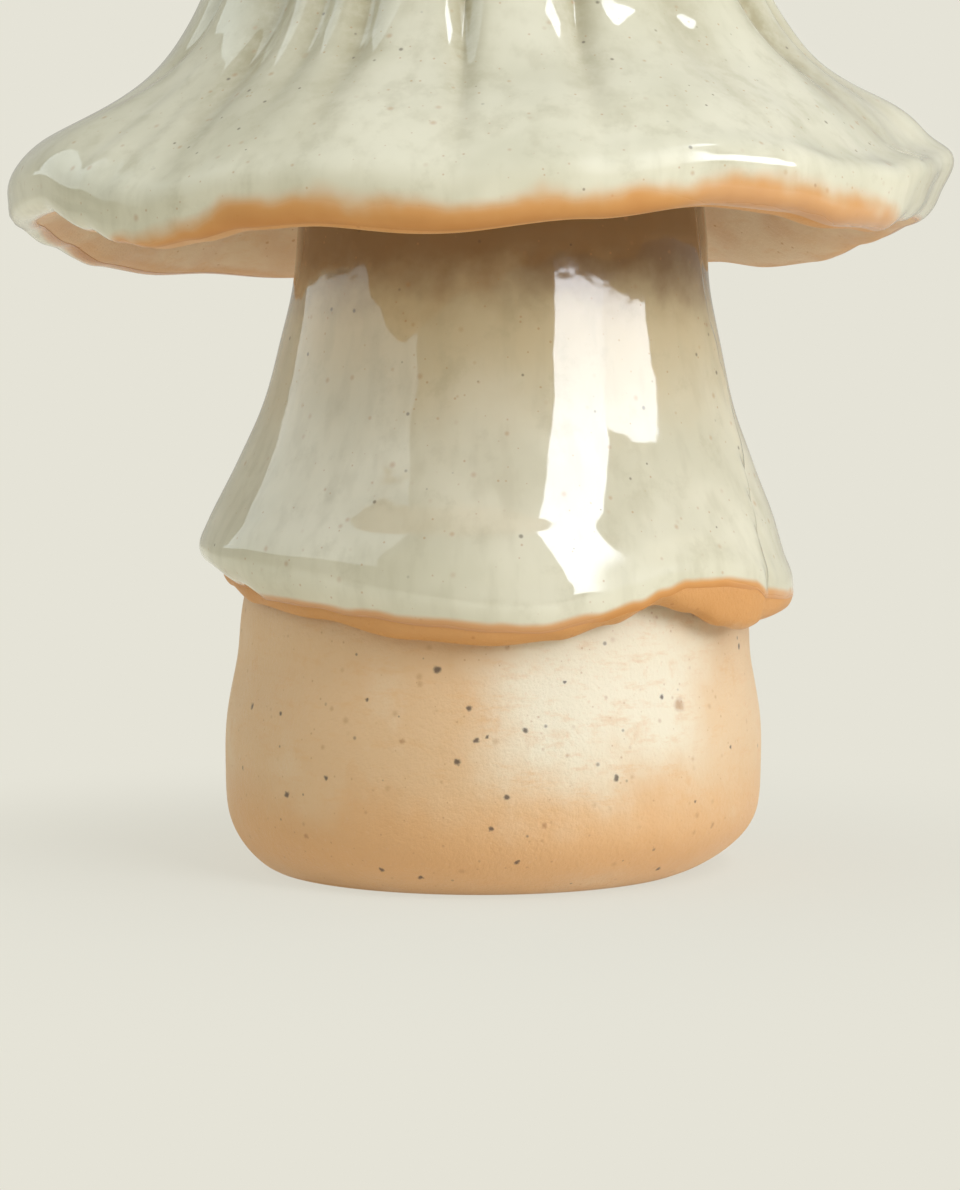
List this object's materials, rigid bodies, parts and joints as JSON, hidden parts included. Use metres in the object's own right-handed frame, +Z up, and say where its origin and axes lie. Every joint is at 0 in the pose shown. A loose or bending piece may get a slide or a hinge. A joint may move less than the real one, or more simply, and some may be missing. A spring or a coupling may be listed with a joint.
{
  "type": "ceramic mushroom ornament",
  "caption": "Hand-built stoneware mushroom ornament: a fluted, flaring glazed cap over a lapped glazed stem skirt, on a bare rounded foot, pierced at the crown for hanging.",
  "frame": {"origin": "on the plane of the flat foot, straight below the hanging hole in the crown", "axes": "+Z up through the hanging hole; the front, with the lapped seam to its right, faces -Y; +X to the right of the front"},
  "size_m": [0.0784, 0.0775, 0.1028],
  "materials": {
    "cap_clay": "bare speckled stoneware, toasted orange brown at the brim's edge",
    "cap_glaze": "glossy pale green-grey glaze with iron specks, thin and orange where it breaks at the brim",
    "stem_clay": "bare speckled stoneware",
    "stem_glaze": "glossy pale green-grey glaze with iron specks, thin and orange along the lower edge",
    "foot_clay": "bare peach stoneware with dark specks and darker orange flashing low down",
    "joint_slip": "fired slip, matt"
  },
  "bodies": {
    "root": {"cap_shell": "cap_clay", "cap_glaze": "cap_glaze", "stem_sleeve": "stem_clay", "stem_glaze": "stem_glaze", "foot_bulb": "foot_clay", "cap_joint_slip": "joint_slip", "neck_joint_slip": "joint_slip"}
  },
  "joints": []
}
